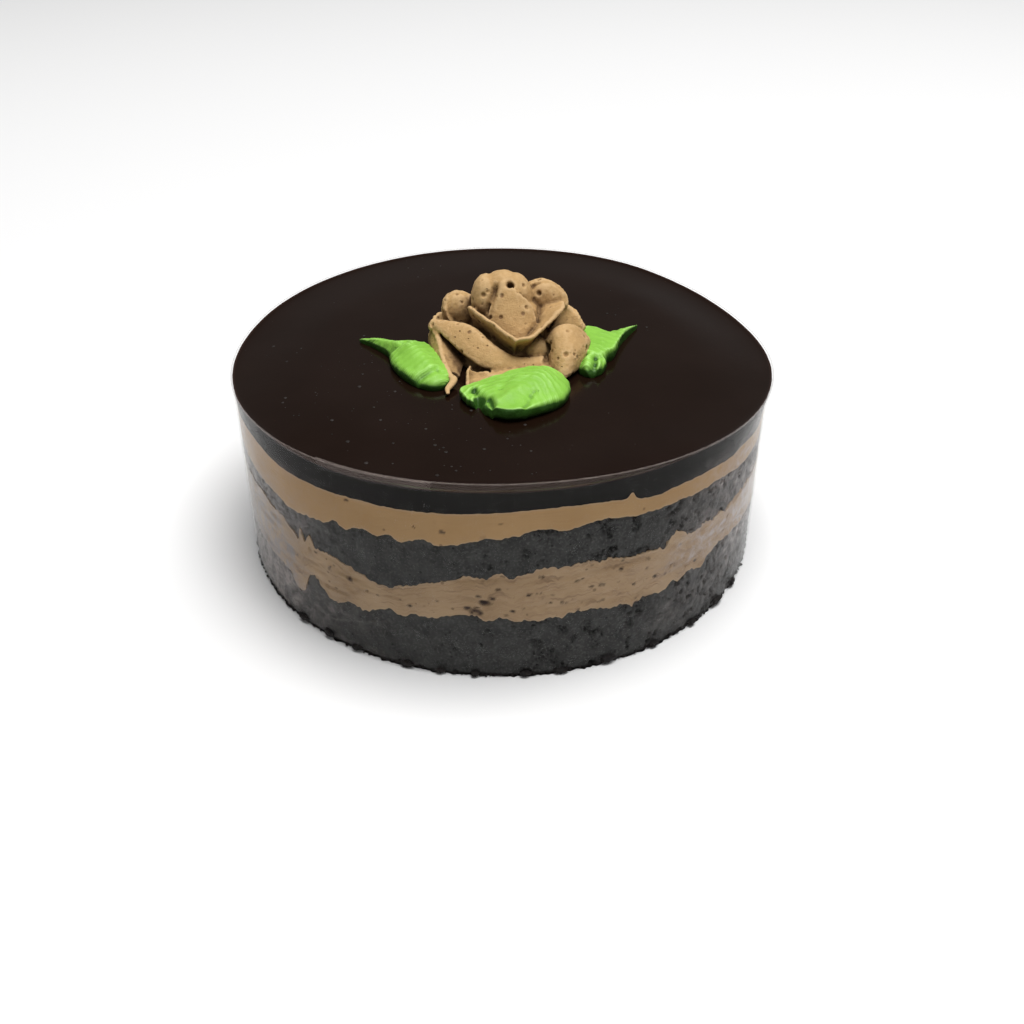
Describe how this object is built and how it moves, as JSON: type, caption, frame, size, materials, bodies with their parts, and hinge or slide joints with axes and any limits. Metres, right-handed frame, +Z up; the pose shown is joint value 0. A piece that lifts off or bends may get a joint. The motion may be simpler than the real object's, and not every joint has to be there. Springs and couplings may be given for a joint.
{
  "type": "chocolate layer cake",
  "caption": "Round dark chocolate layer cake with cocoa cream between the sponges, a glossy poured ganache top, a piped buttercream rose with green leaves and a clear film collar.",
  "frame": {"origin": "centre of the cake's flat foot, on the surface it stands on", "axes": "+Z up; -Y is the side the picture shows, with the outer end of the film just to its left; +X to the right"},
  "size_m": [0.1543, 0.1543, 0.08],
  "materials": {
    "dark_sponge": "dry, porous, crumbly",
    "cocoa_cream": "soft satin",
    "ganache_glaze": "glossy, poured",
    "mocha_buttercream": "matte, fine air pits",
    "green_icing": "smooth satin",
    "clear_film": "clear, glossy, lightly smeared inside"
  },
  "bodies": {
    "root": {"sponge_lower": "dark_sponge", "cream_lower": "cocoa_cream", "sponge_upper": "dark_sponge", "cream_upper": "cocoa_cream", "ganache": "ganache_glaze", "rose": "mocha_buttercream", "leaf_left": "green_icing", "leaf_front": "green_icing", "leaf_right": "green_icing", "film_collar": "clear_film"}
  },
  "joints": []
}
